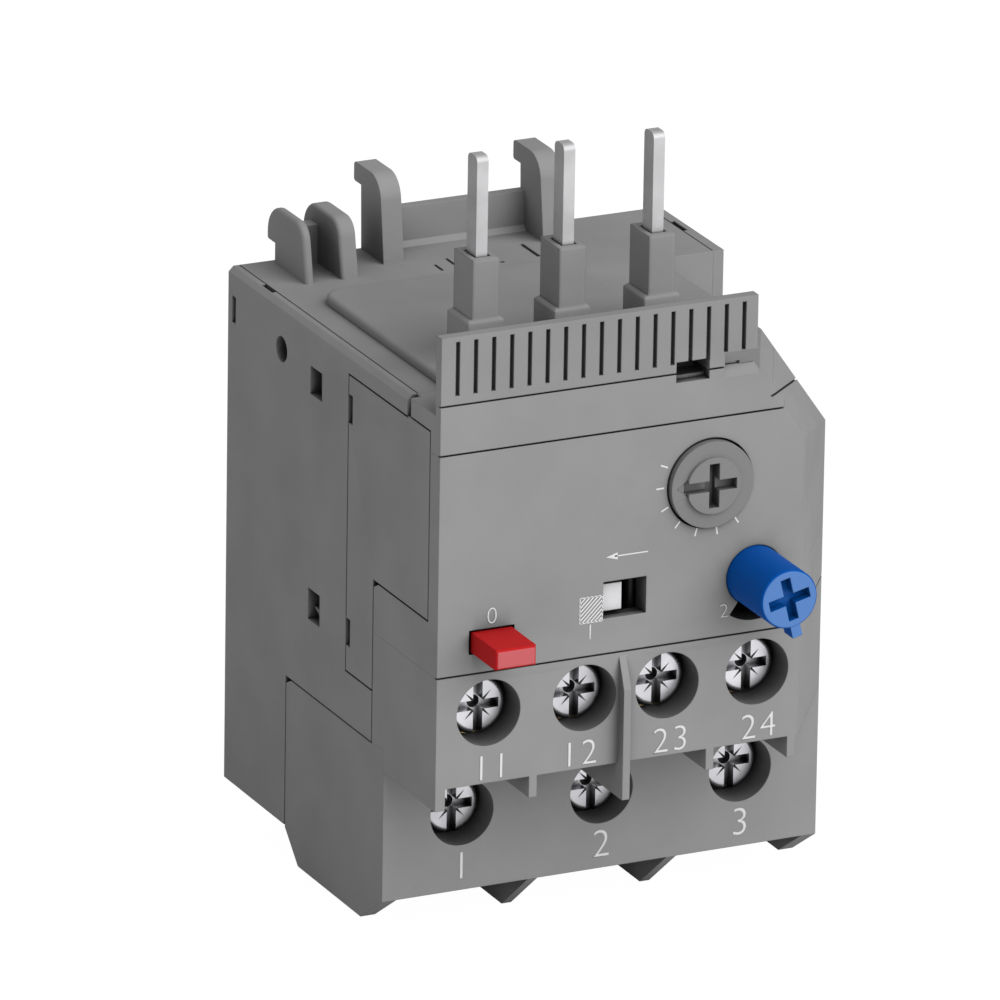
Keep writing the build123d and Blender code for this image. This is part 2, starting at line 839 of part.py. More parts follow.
pin_well = 0.2
for x in pin_xs:
    pedestal = post(x, pedestal_w, pedestal_d, plateau_z - 0.2, pedestal_top_z)
    shoulder = pedestal.faces().sort_by(Axis.Z)[-1].edges()
    pin_carrier += chamfer(shoulder, 0.3)
    pin_carrier += post(x, tower_w, tower_d, pedestal_top_z - 0.4, tower_top_z)
    pin_carrier -= post(x, pin_w, pin_d, deck_z - 1, tower_top_z + 1)
    well_w = pin_w + 2 * pin_well
    well_d = pin_d + 2 * pin_well
    pin_carrier -= post(x, well_w, well_d, tower_top_z - 0.35, tower_top_z + 1)

# plug pins with their straps

line_pins = []
for pin_x, pole_x in zip(pin_xs, pole_xs):
    pin = post(pin_x, pin_w, pin_d, deck_z - 0.2, pin_top_z)
    top = pin.edges().filter_by(Axis.X).sort_by(Axis.Z)[-2:]
    pin = fillet(top, 0.6)
    x0 = pin_x - strap_half
    x1 = pin_x + strap_half
    pin += block(x0, x1, strap_y0, strap_y1, deck_z - strap_t, deck_z)
    pin += block(x0, x1, lead_y0, strap_y1, chamber_top_z, deck_z)
    left = min(pin_x, pole_x) - strap_half
    right = max(pin_x, pole_x) + strap_half
    pin += block(left, right, lead_y0, strap_y1, chamber_top_z, chamber_top_z + strap_t)
    line_pins.append(pin)

# per pole: load bar, bimetal strip and heater winding

tab_x0 = bimetal_t / 2
tab_top_z = 25.5
wind_in_x = 0.75
wind_t = 0.5
wind_y0 = 23.1
wind_y1 = 30.9
wind_h = 0.9
wind_n = 6
wind_z = 27.5
wind_pitch = (push_z - 3.6 - wind_z) / (wind_n - 1)
load_bars = []
bimetals = []
heaters = []
for x in pole_xs:
    bar_y_end = load_chamber_y1 + load_bar_t
    bar = block(x - bar_half, x + bar_half, load_chamber_y1, bar_y_end, load_bar_z0, tab_top_z)
    bar += block(x + tab_x0, x + tab_x0 + 1.0, load_chamber_y1, 30.0, 19.5, tab_top_z)
    bar -= rod_y(x, load_screw_z, load_shank_r + fit, load_chamber_y1 - 1, load_chamber_y1 + 2)
    load_bars.append(bar)
    x0 = x - bimetal_t / 2
    bimetals.append(block(x0, x0 + bimetal_t, bimetal_y0, bimetal_y1, 20.0, bimetal_top_z))
    heater = Part()
    for n in range(wind_n):
        z0 = wind_z + n * wind_pitch
        z1 = z0 + wind_h
        turn = block(x - wind_in_x - wind_t, x + wind_in_x + wind_t, wind_y0, wind_y1, z0, z1)
        turn -= block(x - wind_in_x, x + wind_in_x, wind_y0 + wind_t, wind_y1 - wind_t, z0 - 1, z1 + 1)
        turn -= block(x, x + 3, 26.8, 27.2, z0 - 1, z1 + 1)
        heater += turn
        if n:
            low = z0 - wind_pitch + wind_h - 0.05
            rise = [(27.2, low), (28.0, low), (26.8, z0 + 0.05), (26.0, z0 + 0.05)]
            heater += prism_x(rise, x + wind_in_x, x + wind_in_x + wind_t)
    heater += block(x + wind_in_x, x + wind_in_x + wind_t, 28.6, 29.8, tab_top_z, wind_z + 0.1)
    top_turn_z = wind_z + (wind_n - 1) * wind_pitch
    y0 = wind_y1 - wind_t
    heater += block(x - wind_in_x, x + wind_in_x, y0, wind_y1, top_turn_z, chamber_top_z)
    heaters.append(heater)

# auxiliary contacts

strip_z0 = 30.4
strip_z1 = 31.0
contact_top_z = 33.6
tip_t = 0.4
nc_tip_x = -12.4
no_tip_x = 4.4


def aux_bar(x):
    bar = block(x - bar_half, x + bar_half, bar_y0, bar_y1, bar_bottom_z, aux_top_z)
    bar += block(x - riser_half, x + riser_half, bar_y0, bar_y1, aux_top_z - 0.1, strip_z1)
    return bar - rod_y(x, aux_screw_z, aux_shank_r + fit, bar_y0 - 1, bar_y1 + 1)


def lane(x0, x1, y0, y1):
    return block(x0, x1, y0, y1, strip_z0, strip_z1)


nc_post_x0 = nc_tip_x + tip_t
nc_post_x1 = nc_post_x0 + 0.4
no_post_x1 = no_tip_x - tip_t
no_post_x0 = no_post_x1 - 0.4
nc_rear = aux_bar(aux_xs[0]) + lane(aux_xs[0], nc_post_x1, bar_y0, bar_y1)
nc_rear += block(nc_post_x0, nc_post_x1, bar_y0, bar_y1, strip_z0, contact_top_z)
nc_rear += block(nc_tip_x, nc_post_x0, bar_y0 + 0.1, bar_y1 - 0.1, 32.4, 33.4)
nc_front = aux_bar(aux_xs[1]) + lane(aux_xs[1] - 1.0, aux_xs[1] - 0.2, lane_y0, bar_y1)
nc_front += lane(nc_post_x0, aux_xs[1] - 0.2, lane_y0, lane_y1)
nc_front += block(nc_post_x0, nc_post_x1, lane_y0, lane_y1, strip_z0, contact_top_z)
nc_front += block(nc_tip_x, nc_post_x0, lane_y0 + 0.1, lane_y1 - 0.1, 32.4, 33.4)
no_rear = aux_bar(aux_xs[2]) + lane(aux_xs[2], no_post_x1, bar_y0, bar_y1)
no_rear += block(no_post_x0, no_post_x1, bar_y0, bar_y1, strip_z0, contact_top_z)
no_rear += block(no_post_x1, no_tip_x, bar_y0 + 0.1, bar_y1 - 0.1, 32.4, 33.4)
no_front = aux_bar(aux_xs[3]) + lane(aux_xs[3] - 1.0, aux_xs[3] - 0.2, lane_y0, bar_y1)
no_front += lane(no_post_x0, aux_xs[3] - 0.2, lane_y0, lane_y1)
no_front += block(no_post_x0, no_post_x1, lane_y0, lane_y1, strip_z0, contact_top_z)
no_front += block(no_post_x1, no_tip_x, lane_y0 + 0.1, lane_y1 - 0.1, 32.4, 33.4)

# trip carrier with the two moving contact bridges and the test slider

bridge_t = 0.4
trip_travel = 1.6
nc_gap = 0.05
lug_y0 = 6.6
lug_y1 = 8.4
carrier = block(-13.5, 7.6, carrier_y0, carrier_y1, carrier_z, carrier_top_z)
carrier -= block(-10.5, 6.2, ridge_y0, ridge_y1, carrier_z - 1, carrier_z + 0.65)
nc_bridge_x1 = nc_tip_x - nc_gap
nc_bridge_x0 = nc_bridge_x1 - bridge_t
no_bridge_x0 = no_tip_x + trip_travel + nc_gap
no_bridge_x1 = no_bridge_x0 + bridge_t
carrier += block(nc_bridge_x1, -10.8, lug_y0, lug_y1, 31.8, carrier_z + 0.1)
carrier += block(no_bridge_x1, 7.6, lug_y0, lug_y1, 31.8, carrier_z + 0.1)
carrier += block(-4.2, -2.4, carrier_y1 - 0.1, 16.4, 34.4, carrier_top_z)
nc_bridge = block(nc_bridge_x0, nc_bridge_x1, 4.8, 10.2, 32.2, 33.6)
no_bridge = block(no_bridge_x0, no_bridge_x1, 4.8, 10.2, 32.2, 33.6)
# the white flag stands just behind the skin of the plate, the round post to its right
slider_x1 = window_x0 + 2.4
slider_x0 = window_x0 - 1.7
slider = block(
    slider_x0,
    slider_x1,
    window_skin + air,
    carrier_y0,
    window_z0 + 0.32,
    window_z1 - 0.65,
)
peg_x = slider_x1 + 1.85
peg_y = plate_t + 0.9
peg_r = 0.52
peg = rod_z(peg_x, peg_y, peg_r, window_z0 - 1.3, carrier_top_z - 0.1)
peg += block(
    peg_x - peg_r,
    peg_x + peg_r,
    peg_y,
    carrier_y0,
    window_z1 - 0.6,
    carrier_top_z - 0.1,
)

# push slides and the compensating lever

pole_window = 2.4


def pole_windows(slide, z):
    for x in pole_xs:
        x1 = x + bimetal_t / 2 + air
        y1 = bimetal_y1 + air
        slide -= block(x - pole_window, x1, slide_y0 - 1, y1, z - 1, z + slide_t + 1)
    return slide


def plain_slide(z):
    return block(slide_x0, slide_x1, slide_y0, slide_y1, z, z + slide_t)


push_slide = pole_windows(plain_slide(push_z), push_z)
diff_slide = pole_windows(plain_slide(diff_z), diff_z)
# the tongue is narrower beside the middle bimetal strip, which it passes when it moves
tongue_y1 = bimetal_y0 - air
diff_slide += block(tongue_x0, tongue_x1, tongue_y0, tongue_y1, diff_z, diff_z + slide_t)
neck_x1 = -pole_window
diff_slide += block(tongue_x0, neck_x1, tongue_y1 - 0.5, slide_y0 + 1, diff_z, diff_z + slide_t)
lever_y0 = 14.2
lever_y1 = 15.8
lever_top_z = diff_z + slide_t - 0.2
lever = rod_y(axle_x, axle_z, 1.6, lever_y0, lever_y1)
lever += block(axle_x - 0.5, axle_x + 0.5, lever_y0, lever_y1, 35.4, lever_top_z)
lever -= rod_y(axle_x, axle_z, axle_r + fit, lever_y0 - 1, lever_y1 + 1)
axle = rod_y(axle_x, axle_z, axle_r, 12.8, mech_in_rear_y + 0.8)
axle += rod_y(axle_x, axle_z, axle_r + 0.6, 12.8, 13.6)

# setting dial and its cam

dial_out = 0.6
dial_knob_out = 0.35
slot_depth = 1.5
dial_face_y = -dial_out - dial_knob_out
dial = rod_y(dial_x, dial_z, dial_hole_r - dial_gap, -dial_out, plate_t + air)
dial += rod_y(dial_x, dial_z, dial_hole_r + 0.6, plate_t + air, plate_t + air + 0.8)
dial += rod_y(dial_x, dial_z, dial_knob_r, dial_face_y, -dial_out + 0.1)
dial += rod_y(dial_x, dial_z, dial_shaft_r, plate_t, mech_in_rear_y + 0.6)
slot_y = dial_face_y + slot_depth
slot_half = 0.52
dial -= block(
    dial_x - slot_half,
    dial_x + slot_half,
    -3,
    slot_y,
    dial_z - 2.15,
    dial_z + 2.15,
)
dial -= block(
    dial_x - 2.9,
    dial_x + 2.3,
    -3,
    slot_y - 0.5,
    dial_z - slot_half,
    dial_z + slot_half,
)
dial -= prism_y(
    [(dial_x - 2.6, dial_z - 0.8), (dial_x - 3.7, dial_z), (dial_x - 2.6, dial_z + 0.8)],
    -3,
    -dial_out + 0.15,
)
cam = rod_y(dial_x + 0.9, dial_z - 0.4, 3.1, 9.6, 11.4)
cam -= rod_y(dial_x, dial_z, dial_shaft_r, 9, 12)

# reset knob, rod and spring

knob_rear_y = 3.3
knob = rod_y(reset_x, reset_z, reset_r, -reset_out, knob_rear_y)
knob_rim = knob.edges().filter_by(GeomType.CIRCLE).sort_by(Axis.Y)[0]
knob = fillet(knob_rim, 0.25)
knob += rod_y(reset_x, reset_z, 3.4, plate_t + air, knob_rear_y)
pointer = block(2.4, 3.9, -reset_out + 0.05, -reset_out + 1.8, -0.5, 0.5)
knob += Pos(reset_x, 0, reset_z) * Rot(0, 76, 0) * pointer
slot_a = block(-0.5, 0.5, -9, -reset_out + 1.1, -2.1, 2.1)
slot_b = block(-2.1, 2.1, -9, -reset_out + 1.1, -0.5, 0.5)
knob -= Pos(reset_x, 0, reset_z) * Rot(0, -reset_slot_turn, 0) * (slot_a + slot_b)
knob -= rod_y(reset_x, reset_z, rod_r + fit, -2.2, knob_rear_y + 1)
rod = rod_y(reset_x, reset_z, rod_r, -1.9, 15.8)
collar_y1 = 4.5
rod += rod_y(reset_x, reset_z, 2.0, 3.6, collar_y1)
reset_spring = coil_y(reset_x, reset_z, 1.9, 0.15, collar_y1, tray_in_rear_y, 5)

# stop button and spring

button = block(stop_x0, stop_x1, -stop_out, plate_t + air, stop_z0, stop_z1)
button = fillet(button.faces().sort_by(Axis.Y)[0].edges(), 0.3)
button += block(stop_x0 - 0.6, stop_x1, plate_t + air, plate_t + 1.2, stop_z0 - 0.5, stop_z1 + 0.5)
stem_y1 = 7.0
button += block(-18.5, -15.2, plate_t + 1.1, stem_y1, 31.5, 32.9)
stop_spring = coil_y(-16.9, 32.2, 0.8, 0.14, stem_y1, tray_in_rear_y, 5)

# screws with their clamp plates


drive_half = 0.48
drive_arm = 2.1


def screw(x, z, r_head, r_shank, y0, y_end):
    body = rod_y(x, z, r_head, y0, y0 + head_t)
    rim = body.edges().filter_by(GeomType.CIRCLE).sort_by(Axis.Y)[0]
    body = fillet(rim, 0.6)
    body += rod_y(x, z, r_shank, y0 + head_t - 0.1, y_end)
    y1 = y0 + 1.1
    body -= block(x - drive_half, x + drive_half, y0 - 1, y1, z - r_head - 1, z + r_head + 1)
    body -= block(x - drive_arm, x + drive_arm, y0 - 1, y1, z - drive_half, z + drive_half)
    return body - rod_y(x, z, drive_half + 0.15, y0 - 1, y0 + 2.0)


aux_screws = []
aux_plates = []
for x in aux_xs:
    aux_screws.append(screw(x, aux_screw_z, aux_head_r, aux_shank_r, head_sunk, 11.0))
    plate = block(
        x - aux_plate_half,
        x + aux_plate_half,
        aux_head_y1,
        aux_head_y1 + aux_plate_t,
        aux_screw_z - aux_plate_half,
        aux_chamber_top_z - air,
    )
    bore = rod_y(x, aux_screw_z, aux_shank_r, aux_head_y1 - 1, aux_head_y1 + 2)
    aux_plates.append(plate - bore)
load_screws = []
load_plates = []
load_head_y0 = load_face_y + head_sunk
load_head_y1 = load_head_y0 + head_t
for x in pole_xs:
    load_screws.append(screw(x, load_screw_z, load_head_r, load_shank_r, load_head_y0, 24.5))
    plate = block(
        x - load_plate_half,
        x + load_plate_half,
        load_head_y1,
        load_head_y1 + load_plate_t,
        load_screw_z - load_plate_half,
        load_screw_z + load_plate_half,
    )
    bore = rod_y(x, load_screw_z, load_shank_r, load_head_y1 - 1, load_head_y1 + 2)
    load_plates.append(plate - bore)

pieces = {
    "base_housing": base,
    "mechanism_housing": mech,
    "front_cover": cover,
    "label_strip": strip,
    "ribbed_panel": panel,
    "aux_terminal_block": aux,
    "load_terminal_block": load,
    "left_cover": left_cover,
    "right_cover": right_cover,
    "pin_carrier": pin_carrier,
    "nc_fixed_contacts": [nc_rear, nc_front],
    "no_fixed_contacts": [no_rear, no_front],
    "trip_carrier": carrier,
    "nc_bridge": nc_bridge,
    "no_bridge": no_bridge,
    "test_slider": slider,
    "test_peg": peg,
    "push_slide": push_slide,
    "differential_slide": diff_slide,
    "compensating_lever": lever,
    "lever_axle": axle,
    "setting_dial": dial,
    "setting_cam": cam,
    "reset_knob": knob,
    "reset_rod": rod,
    "reset_spring": reset_spring,
    "stop_button": button,
    "stop_spring": stop_spring,
}
for n in range(3):
    pieces[f"line_pin_{n + 1}"] = line_pins[n]
    pieces[f"load_bar_{n + 1}"] = load_bars[n]
    pieces[f"bimetal_{n + 1}"] = bimetals[n]
    pieces[f"heater_{n + 1}"] = heaters[n]
    pieces[f"load_screw_{n + 1}"] = load_screws[n]
    pieces[f"load_clamp_{n + 1}"] = load_plates[n]
for n in range(4):
    pieces[f"aux_screw_{n + 1}"] = aux_screws[n]
    pieces[f"aux_clamp_{n + 1}"] = aux_plates[n]

for name, piece in pieces.items():
    group = piece if isinstance(piece, list) else [piece]
    solids = [Pos(0, -mid_y, -inner_foot_z) * s for p in group for s in p.solids()]
    shape = solids[0] if len(solids) == 1 else Compound(children=solids)
    export_step(shape, f"parts/{name}.step")
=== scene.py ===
import bpy
import json
import math
from mathutils import Matrix, Vector


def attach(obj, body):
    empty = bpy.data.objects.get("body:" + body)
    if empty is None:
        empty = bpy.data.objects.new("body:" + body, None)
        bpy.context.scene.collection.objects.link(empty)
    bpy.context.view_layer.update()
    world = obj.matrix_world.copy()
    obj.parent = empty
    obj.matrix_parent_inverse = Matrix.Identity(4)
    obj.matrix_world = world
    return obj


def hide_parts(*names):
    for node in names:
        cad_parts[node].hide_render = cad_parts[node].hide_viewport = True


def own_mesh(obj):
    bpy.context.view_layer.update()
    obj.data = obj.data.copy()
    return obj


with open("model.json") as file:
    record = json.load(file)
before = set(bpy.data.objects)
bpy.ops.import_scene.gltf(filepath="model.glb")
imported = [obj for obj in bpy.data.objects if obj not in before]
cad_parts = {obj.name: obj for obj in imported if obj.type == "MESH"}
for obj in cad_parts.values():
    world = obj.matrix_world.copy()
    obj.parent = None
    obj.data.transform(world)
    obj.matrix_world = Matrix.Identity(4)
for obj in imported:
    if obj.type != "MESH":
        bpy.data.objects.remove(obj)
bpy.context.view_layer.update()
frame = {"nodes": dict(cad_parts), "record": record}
MM = 0.001
FRONT_Y = -20.55  # where the front face lies in the shared frame, mm
LOAD_Y = FRONT_Y + 11.15  # the load terminals' face
LIFT = 1.35  # the outer walls' feet above the lowest edges, mm; heights below are from those feet
DECK_Z = 54.3  # the deck


def collection_link(obj):
    bpy.context.scene.collection.objects.link(obj)
    return obj


class Tree:
    """A shader's nodes and links, with a short way to add to them."""

    def __init__(self, tree):
        self.nodes = tree.nodes
        self.links = tree.links

    def add(self, kind, inputs, **settings):
        """A new node. Each input is a value, or the output of another node that feeds it."""
        node = self.nodes.new(kind)
        for key, value in settings.items():
            setattr(node, key, value)
        self.feed(node, inputs)
        return node

    def feed(self, node, inputs):
        for key, value in inputs.items():
            if isinstance(value, bpy.types.NodeSocket):
                self.links.new(value, node.inputs[key])
            else:
                node.inputs[key].default_value = value

    def span(self, value, low, high, to_low=0.0, to_high=1.0, **settings):
        """A value carried from one range to another."""
        ends = {"From Min": low, "From Max": high, "To Min": to_low, "To Max": to_high}
        return self.add("ShaderNodeMapRange", {"Value": value, **ends}, **settings).outputs["Result"]

    def times(self, a, b):
        """The product of a value and another value or number."""
        return self.add("ShaderNodeMath", {0: a, 1: b}, operation="MULTIPLY").outputs[0]

    def blend(self, share, colour, other):
        """A colour carried towards another by a share."""
        return self.add("ShaderNodeMix", {0: share, 6: colour, 7: other}, data_type="RGBA").outputs[2]

    def switch(self, share, shader, other):
        """A shader that gives way to another by a share."""
        return self.add("ShaderNodeMixShader", {0: share, 1: shader, 2: other}).outputs[0]

    def noise(self, scale, detail, place):
        """An uneven value over the surface, finer with a larger scale."""
        inputs = {"Scale": scale, "Detail": detail, "Vector": place}
        return self.add("ShaderNodeTexNoise", inputs).outputs["Fac"]

    def ramp(self, value, low, high, to_low, to_high):
        """A colour between two, by where a value lies."""
        node = self.add("ShaderNodeValToRGB", {"Fac": value})
        for element, position, colour in zip(node.color_ramp.elements, (low, high), (to_low, to_high)):
            element.position = position
            element.color = (*colour, 1)
        return node.outputs["Color"]

    def openness(self, reach, alone=False):
        """How much of the space round a surface is free, within so many mm."""
        settings = {"samples": 8, "only_local": alone}
        return self.add("ShaderNodeAmbientOcclusion", {"Distance": reach * MM}, **settings).outputs["AO"]


# camera

CAM_AZ = math.radians(-25.73)
CAM_EL = math.radians(19.79)
CAM_ROLL = math.radians(0.93)
FOCAL_PX = 13869.0
PX_PER_MM = 10.755
IMAGE_PX = 1000.0
SENSOR = 36.0
AIM = Vector((-6.737, 20.0 + FRONT_Y, 37.647 + LIFT)) * MM

back = Vector(
    (
        math.sin(CAM_AZ) * math.cos(CAM_EL),
        -math.cos(CAM_AZ) * math.cos(CAM_EL),
        math.sin(CAM_EL),
    )
)
right = Vector((math.cos(CAM_AZ), math.sin(CAM_AZ), 0.0))
up = back.cross(right)
right_r = right * math.cos(CAM_ROLL) + up * math.sin(CAM_ROLL)
up_r = up * math.cos(CAM_ROLL) - right * math.sin(CAM_ROLL)
distance = FOCAL_PX / PX_PER_MM * MM
cam_data = bpy.data.cameras.new("camera")
cam_data.sensor_width = SENSOR
cam_data.lens = FOCAL_PX / IMAGE_PX * SENSOR
cam_data.clip_start = 0.05
cam_data.clip_end = 20.0
cam = collection_link(bpy.data.objects.new("camera", cam_data))
turn = Matrix((right_r, up_r, back)).transposed().to_4x4()
cam.matrix_world = Matrix.Translation(AIM + back * distance) @ turn
bpy.context.scene.camera = cam

# light

WHITE = (1, 1, 1, 1)
SOFT = 0.38  # light from all round
SEEN = 1.1  # what the camera sees behind the object
CARD = 1.2  # what reflections see in front
ROOM = 0.08  # and elsewhere
CARD_AWAY = (-0.41, 0.85, 0.33)  # from the middle of that card to the object
CARD_EDGE = (0.3, 0.85)  # how closely a reflection looks at the middle where the card begins and is full
KEY_FROM = (0.351, -0.679, 0.645)
KEY_STRENGTH = 2.18
KEY_ANGLE = 70  # degrees across
scene = bpy.context.scene
scene.view_settings.view_transform = "Standard"
scene.cycles.diffuse_bounces = 2
world = bpy.data.worlds.new("studio")
scene.world = world
world.use_nodes = True
world.cycles.sampling_method = "NONE"  # so that reflections and soft light stay apart
world.node_tree.nodes.clear()
sky = Tree(world.node_tree)
ray = sky.add("ShaderNodeLightPath", {}).outputs
looking = sky.add("ShaderNodeNewGeometry", {}).outputs["Incoming"]
towards = sky.add("ShaderNodeVectorMath", {0: looking, 1: CARD_AWAY}, operation="DOT_PRODUCT")
card = sky.span(towards.outputs["Value"], *CARD_EDGE, ROOM, CARD, interpolation_type="SMOOTHSTEP")
soft = sky.add("ShaderNodeBackground", {"Color": WHITE, "Strength": SOFT}).outputs[0]
gloss = sky.add("ShaderNodeBackground", {"Color": WHITE, "Strength": card}).outputs[0]
seen = sky.add("ShaderNodeBackground", {"Color": WHITE, "Strength": SEEN}).outputs[0]
unseen = sky.switch(ray["Is Glossy Ray"], soft, gloss)
sky.add("ShaderNodeOutputWorld", {0: sky.switch(ray["Is Camera Ray"], unseen, seen)})


def sun(name, direction, strength, angle):
    """A lamp far off in that direction from the object."""
    data = bpy.data.lights.new(name, "SUN")
    data.energy = strength
    data.angle = math.radians(angle)
    obj = collection_link(bpy.data.objects.new(name, data))
    obj.matrix_world = Vector(direction).to_track_quat("Z", "Y").to_matrix().to_4x4()


sun("key", KEY_FROM, KEY_STRENGTH, KEY_ANGLE)

# materials

GREY = (0.302, 0.302, 0.302)
CLOSED = 0.28  # the openness at which the painted shade in a hollow is darkest
PLASTIC_REACH = 8.0  # how far off a wall the painted shade in a hollow still reaches, mm
# the same reach for the painted shade in metal hollows, mm
METAL_REACH = 2.2
# the painted front highlight: how far its openness test reaches, which way a face must look, and how open
# it must be
FRONT_REACH = 3
FRONT_FACING = (-0.85, -0.97)  # the normal's Y where the painted front highlight begins and is full
FRONT_OPEN = (0.6, 0.85)  # and the openness there
EDGE_POINT = (0.53, 0.62)  # the pointiness where an edge begins to be rubbed and is fully so
GRAIN_SCALE = 5200
GRAIN_HEIGHT = 0.00004
FLOW_SCALE = 130
MARKS_SCALE = 900
MARKS_HEIGHT = 0.00003
HAZE_SCALE = 240


def new_material(name):
    mat = bpy.data.materials.new(name)
    mat.use_nodes = True
    return mat, Tree(mat.node_tree), mat.node_tree.nodes["Principled BSDF"]


def painted_hollow_shade(t, colour, reach, least, open_at=0.56, alone=False):
    """The colour darkened by painted shade, to its least share, where the surface lies deep in a hole or
    gap.

    From open_at on the surface counts as open. A piece taken alone is not darkened by what lies near it.
    """
    share = t.span(t.openness(reach, alone), CLOSED, open_at, least)
    return t.add("ShaderNodeHueSaturation", {"Value": share, "Color": colour}).outputs["Color"]


def painted_front_highlight(t, normal, paint, front):
    """The paint with a painted highlight, a lighter front colour, on open faces that look straight forward
    and catch the light.

    Light that bounces off the piece stays grey, as the plate around it does in the photo.
    """
    facing = t.add("ShaderNodeSeparateXYZ", {0: normal}).outputs["Y"]
    share = t.times(t.span(facing, *FRONT_FACING), t.span(t.openness(FRONT_REACH), *FRONT_OPEN))
    lit = t.blend(share, paint, (*front, 1))
    bounce = t.add("ShaderNodeLightPath", {}).outputs["Is Diffuse Ray"]
    return t.blend(bounce, lit, (*GREY, 1))


def plastic(
    name,
    colour,
    roughness,
    grain=0.25,
    mottle=0.06,
    shine=0.25,
    rub=0.12,
    round_mm=0.14,
    front=None,
    least=0.1,
    open_at=0.56,
    alone=False,
):
    """Moulded plastic: fine spark-eroded grain, faint flow mottle, slightly rounded and rubbed edges,
    painted shade in hollows and, where a front colour is given, a painted highlight on open front faces.
    """
    mat, t, bsdf = new_material(name)
    place = t.add("ShaderNodeTexCoord", {}).outputs["Object"]
    fine = t.noise(GRAIN_SCALE, 3, place)
    broad = t.noise(FLOW_SCALE, 4, place)
    low = [c * (1 - mottle) for c in colour]
    high = [min(1.0, c * (1 + mottle)) for c in colour]
    flow = t.ramp(broad, 0.3, 0.7, low, high)
    geometry = t.add("ShaderNodeNewGeometry", {}).outputs
    edge = t.times(t.span(geometry["Pointiness"], *EDGE_POINT), rub)
    rubbed = [min(1.0, c * 1.35 + 0.03) for c in colour]
    paint = t.blend(edge, flow, (*rubbed, 1))
    # painted highlight: a lighter colour on open faces that look straight forward
    if front:
        paint = painted_front_highlight(t, geometry["Normal"], paint, front)
    rounded = t.add("ShaderNodeBevel", {"Radius": round_mm * MM}, samples=6).outputs["Normal"]
    bump = {"Strength": grain, "Distance": GRAIN_HEIGHT, "Height": fine, "Normal": rounded}
    surface = {
        # painted shade: the colour darker in hollows and gaps
        "Base Color": painted_hollow_shade(t, paint, PLASTIC_REACH, least, open_at, alone),
        "Roughness": t.span(broad, 0.0, 1.0, roughness - 0.06, roughness + 0.06),
        "Normal": t.add("ShaderNodeBump", bump).outputs["Normal"],
        "Specular IOR Level": shine,
    }
    t.feed(bsdf, surface)
    return mat


def metal(name, colour, roughness, stretch=(1, 1, 1), stain=0.12, bare=1.0):
    """Worked metal: drawn or rolled marks along one axis, a faint uneven tarnish and painted shade in its
    hollows.
    """
    mat, t, bsdf = new_material(name)
    place = t.add("ShaderNodeTexCoord", {}).outputs["Object"]
    drawn = t.add("ShaderNodeMapping", {"Scale": stretch, "Vector": place}).outputs["Vector"]
    marks = t.noise(MARKS_SCALE, 5, drawn)
    haze = t.noise(HAZE_SCALE, 3, place)
    tarnish = t.ramp(haze, 0.3, 0.6, [c * (1 - stain) for c in colour], colour)
    bump = {"Strength": 0.15, "Distance": MARKS_HEIGHT, "Height": marks}
    surface = {
        # painted shade: the colour darker in slots and hollows
        "Base Color": painted_hollow_shade(t, tarnish, METAL_REACH, 0.1),
        "Metallic": bare,
        "Roughness": t.span(marks, 0.0, 1.0, max(0.05, roughness - 0.1), roughness + 0.1),
        "Normal": t.add("ShaderNodeBump", bump).outputs["Normal"],
    }
    t.feed(bsdf, surface)
    return mat


def button_plastic(name, colour, front, least=0.1):
    """The smooth, even plastic of the two coloured buttons, with a painted highlight colour on their open
    front faces.
    """
    return plastic(name, colour, 0.5, grain=0.1, mottle=0.04, shine=0.05, front=front, least=least)


looks = {
    "grey_plastic": plastic("grey_plastic_look", GREY, 0.62),
    "dial_plastic": plastic("dial_plastic_look", (0.235, 0.235, 0.235), 0.55, least=0.3),
    "black_plastic": plastic("black_plastic_look", (0.02, 0.02, 0.02), 0.5),
    "dark_plastic": plastic("dark_plastic_look", (0.045, 0.045, 0.05), 0.4),
    "white_plastic": plastic("white_plastic_look", (0.86, 0.86, 0.88), 0.5, mottle=0.02),
    # each button's second colour is its painted highlight on open front faces
    "blue_plastic": button_plastic("blue_plastic_look", (0.0005, 0.09, 0.42), (0.115, 0.255, 0.6), 0.85),
    "red_plastic": button_plastic("red_plastic_look", (0.53, 0.012, 0.014), (0.64, 0.14, 0.152)),
    "tinned_copper": metal(
        "tinned_copper_look", (0.64, 0.64, 0.65), 0.42, stretch=(1, 1, 0.06), stain=0.2, bare=0.25
    ),
    "zinc_steel": metal("zinc_steel_look", (0.7, 0.7, 0.73), 0.3, stain=0.25),
    "plated_steel": metal("plated_steel_look", (0.6, 0.6, 0.62), 0.35),
    "brass": metal("brass_look", (0.72, 0.53, 0.25), 0.35, stretch=(0.1, 1, 1)),
    "bimetal": metal("bimetal_look", (0.55, 0.53, 0.5), 0.4, stretch=(1, 1, 0.05)),
    "heater_alloy": metal("heater_alloy_look", (0.33, 0.3, 0.28), 0.45),
    "spring_steel": metal("spring_steel_look", (0.5, 0.5, 0.52), 0.3),
}
